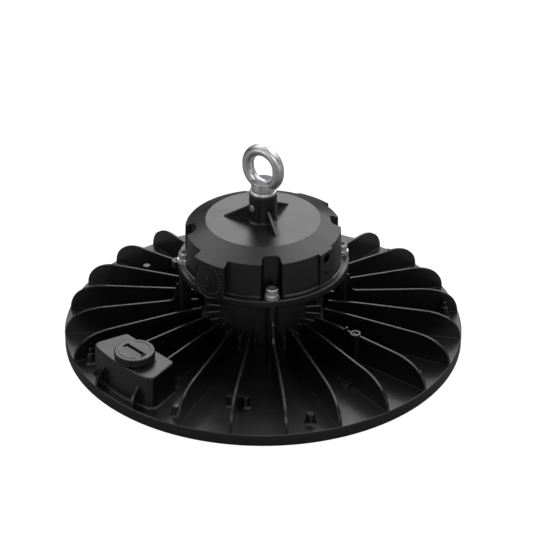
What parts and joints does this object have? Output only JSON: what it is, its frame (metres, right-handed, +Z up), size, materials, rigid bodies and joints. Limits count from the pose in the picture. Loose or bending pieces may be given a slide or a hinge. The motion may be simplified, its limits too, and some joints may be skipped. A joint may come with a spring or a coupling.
{
  "type": "high bay light",
  "caption": "Round finned high bay light with a driver housing on columns, a lifting eyebolt and a turning sensor cap.",
  "frame": {"origin": "centre of the rim's underside, on the light's axis", "axes": "+Z up along the light's axis towards the eyebolt, +X towards the cable hole"},
  "size_m": [0.34, 0.34, 0.1804],
  "materials": {
    "cast_black": "black powder coat on cast aluminium, satin",
    "steel": "bright zinc plating, satin",
    "clear_lens": "clear moulded polycarbonate",
    "board_white": "white solder mask",
    "chip": "phosphor coated",
    "seal": "soft black rubber",
    "silicone": "translucent silicone",
    "plate": "plain rolled aluminium",
    "cap_black": "fine grained black",
    "lead_red": "lead insulation",
    "circuit_green": "green solder mask",
    "ferrite": "sintered ferrite",
    "winding": "taped copper winding",
    "can": "sleeved can",
    "terminal": "moulded terminal block",
    "brass": "plain brass"
  },
  "bodies": {
    "fixture": {"heat_sink": "cast_black", "lens_plate": "clear_lens", "lens_gasket": "silicone", "lens_screws": "steel", "led_board": "board_white", "led_board_screws": "steel", "led_chips": "chip", "led_leads": "lead_red", "driver_housing": "cast_black", "driver_base_plate": "plate", "housing_gasket": "seal", "drum_gasket": "seal", "wire_grommet": "seal", "housing_screws": "steel", "flat_washers": "steel", "spring_washers": "steel", "eyebolt": "steel", "eyebolt_lock_screw": "steel", "sensor_socket": "cap_black", "socket_contacts": "brass", "driver_board": "circuit_green", "driver_standoffs": "brass", "driver_board_screws": "steel", "transformer_core": "ferrite", "transformer_winding": "winding", "filter_choke": "ferrite", "capacitors": "can", "terminal_block": "terminal"},
    "sensor_cap": {"sensor_plug": "cap_black", "plug_seal": "seal"}
  },
  "joints": [
    {"name": "sensor_plug_turn", "type": "hinge", "parent": "fixture", "child": "sensor_cap", "pos_m": [-0.01822, -0.14325, 0.042], "axis": [0, 0, 1], "range_deg": [0, 90]}
  ]
}
